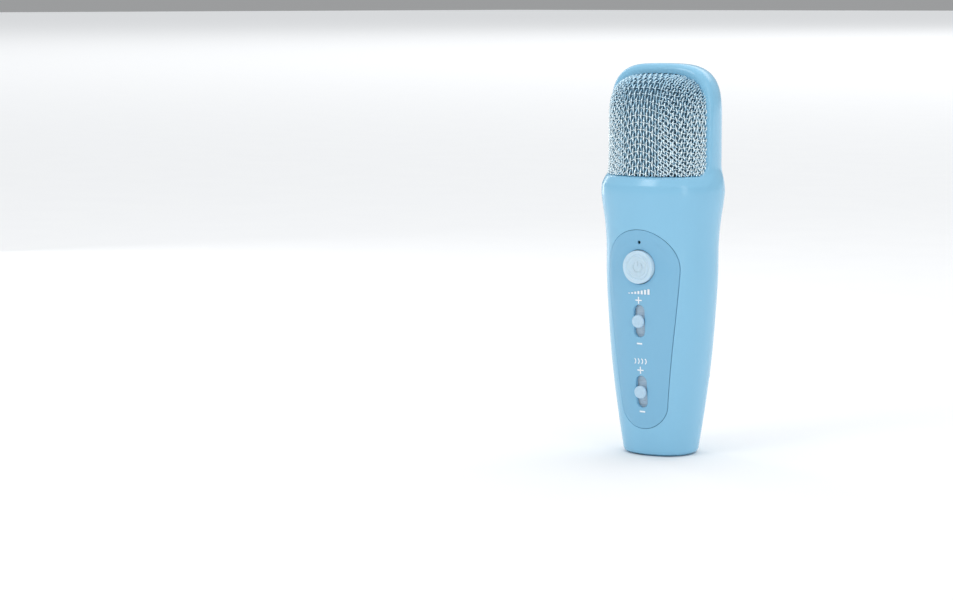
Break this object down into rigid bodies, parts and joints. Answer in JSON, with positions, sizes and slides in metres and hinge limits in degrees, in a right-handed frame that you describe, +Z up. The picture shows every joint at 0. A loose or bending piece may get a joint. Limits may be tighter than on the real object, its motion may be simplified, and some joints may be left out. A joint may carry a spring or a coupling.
{
  "type": "toy microphone",
  "caption": "Toy karaoke microphone with a tapered blue plastic handle, a woven metal grille in a rounded head, a push button and slide controls.",
  "frame": {"origin": "centre of the underside of the base, at the middle of the object's box", "axes": "+Z up along the handle, -Y out of the front with the controls, +X to the right of someone facing the controls"},
  "size_m": [0.0474, 0.0416, 0.15],
  "materials": {
    "casing": "satin moulded ABS",
    "button": "pale satin moulded ABS",
    "shutter": "matt",
    "grille": "plated woven steel wire",
    "steel": "plated",
    "foam": "open-cell foam",
    "rubber": "matt",
    "white_plastic": "natural",
    "board": "solder mask",
    "wrap": "heat-shrink film",
    "lamp": "clear epoxy",
    "lead": "PVC insulation"
  },
  "bodies": {
    "body": {"front_housing": "casing", "rear_housing": "casing", "control_panel": "casing", "tact_switch": "steel", "volume_potentiometer": "steel", "echo_potentiometer": "steel", "front_grille": "grille", "foam_windscreen": "foam", "grille_frame": "white_plastic", "capsule_bracket": "white_plastic", "capsule_holder": "rubber", "microphone_capsule": "steel", "circuit_board": "board", "indicator_led": "lamp", "radio_module": "steel", "battery_connector": "white_plastic", "board_screw_upper": "steel", "board_screw_lower": "steel", "battery": "wrap", "battery_pad": "foam", "usb_port": "steel", "charging_board": "board", "capsule_lead": "lead", "battery_lead": "lead", "casing_screw_upper_left": "steel", "casing_screw_upper_right": "steel", "casing_screw_lower_left": "steel", "casing_screw_lower_right": "steel"},
    "power_button": {"power_button": "button", "switch_plunger": "rubber"},
    "volume_slider": {"volume_knob": "button", "volume_shutter": "shutter", "volume_lever": "white_plastic"},
    "echo_slider": {"echo_knob": "button", "echo_shutter": "shutter", "echo_lever": "white_plastic"}
  },
  "joints": [
    {"name": "power_button_press", "type": "slide", "parent": "body", "child": "power_button", "axis": [0, 1, 0.0032], "range_m": [0, 0.0008], "stiffness_N_per_m": 1500},
    {"name": "volume_slide", "type": "slide", "parent": "body", "child": "volume_slider", "axis": [0, -0.0585, 0.9983], "range_m": [-0.0034, 0.0034]},
    {"name": "echo_slide", "type": "slide", "parent": "body", "child": "echo_slider", "axis": [0, -0.1112, 0.9938], "range_m": [-0.0034, 0.0034]}
  ]
}
